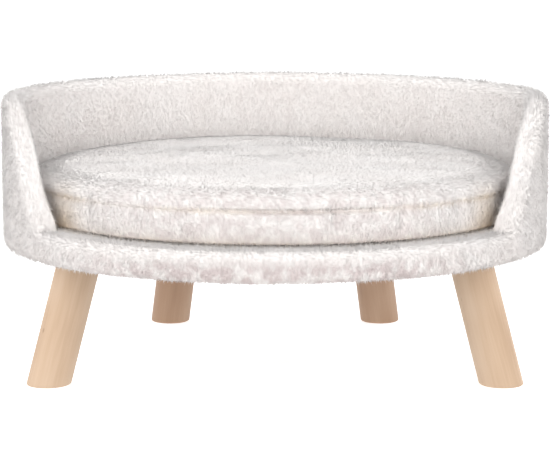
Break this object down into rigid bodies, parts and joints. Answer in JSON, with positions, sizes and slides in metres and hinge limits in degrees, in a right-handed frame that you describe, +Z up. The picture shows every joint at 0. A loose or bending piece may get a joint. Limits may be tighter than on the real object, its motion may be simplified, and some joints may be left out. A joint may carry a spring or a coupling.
{
  "type": "pet sofa",
  "caption": "Round upholstered pet sofa: a padded drum with a curved wall open at the front, a loose zipped cushion and splayed round wooden legs.",
  "frame": {"origin": "the drum's vertical axis where it meets the floor", "axes": "+Z up, the open front faces -Y, +X to the right seen from the front"},
  "size_m": [0.52, 0.52, 0.262],
  "materials": {
    "cream_fur": "short plush pile",
    "foam": "open-cell foam",
    "dust_cloth": "non-woven",
    "base_cloth": "plain woven lining",
    "fibre_fill": "polyester fibre",
    "zip_tape": "woven tape with coil teeth",
    "leg_wood": "satin, pale and lightly knotted",
    "plywood": "raw",
    "zinc_steel": "zinc plated",
    "zip_metal": "nickel plated"
  },
  "bodies": {
    "frame": {"base_board": "plywood", "wall_panel": "plywood", "panel_screws": "zinc_steel", "deck_foam": "foam", "front_edge_foam": "foam", "inner_wall_foam": "foam", "outer_wall_foam": "foam", "rim_foam": "foam", "outer_cover": "cream_fur", "deck_cover": "cream_fur", "dust_cover": "dust_cloth", "dust_cover_staples": "zinc_steel", "tee_nuts": "zinc_steel"},
    "leg_front_left": {"leg_front_left": "leg_wood", "leg_bolt_front_left": "zinc_steel"},
    "leg_front_right": {"leg_front_right": "leg_wood", "leg_bolt_front_right": "zinc_steel"},
    "leg_back_left": {"leg_back_left": "leg_wood", "leg_bolt_back_left": "zinc_steel"},
    "leg_back_right": {"leg_back_right": "leg_wood", "leg_bolt_back_right": "zinc_steel"},
    "cushion": {"cushion_top_cover": "cream_fur", "cushion_band_cover": "cream_fur", "cushion_base_panel": "base_cloth", "cushion_fill": "fibre_fill", "cushion_zip_tape": "zip_tape"},
    "zip_slider": {"cushion_zip_slider": "zip_metal", "cushion_zip_pull": "zip_metal"}
  },
  "joints": [
    {"name": "leg_front_left_turn", "type": "hinge", "parent": "frame", "child": "leg_front_left", "pos_m": [-0.1788, -0.09507, 0.1203], "axis": [0, 0, 1], "range_deg": [-180, 0]},
    {"name": "leg_front_right_turn", "type": "hinge", "parent": "frame", "child": "leg_front_right", "pos_m": [0.1788, -0.09507, 0.1203], "axis": [0, 0, 1], "range_deg": [-180, 0]},
    {"name": "leg_back_left_turn", "type": "hinge", "parent": "frame", "child": "leg_back_left", "pos_m": [-0.09507, 0.1788, 0.1203], "axis": [0, 0, 1], "range_deg": [-180, 0]},
    {"name": "leg_back_right_turn", "type": "hinge", "parent": "frame", "child": "leg_back_right", "pos_m": [0.09507, 0.1788, 0.1203], "axis": [0, 0, 1], "range_deg": [-180, 0]},
    {"name": "cushion_lift", "type": "slide", "parent": "frame", "child": "cushion", "axis": [0, 0, 1], "range_m": [0, 0.13]},
    {"name": "zip_travel", "type": "hinge", "parent": "cushion", "child": "zip_slider", "pos_m": [0, 0, 0.1574], "axis": [0, 0, 1], "range_deg": [0, 90]}
  ]
}
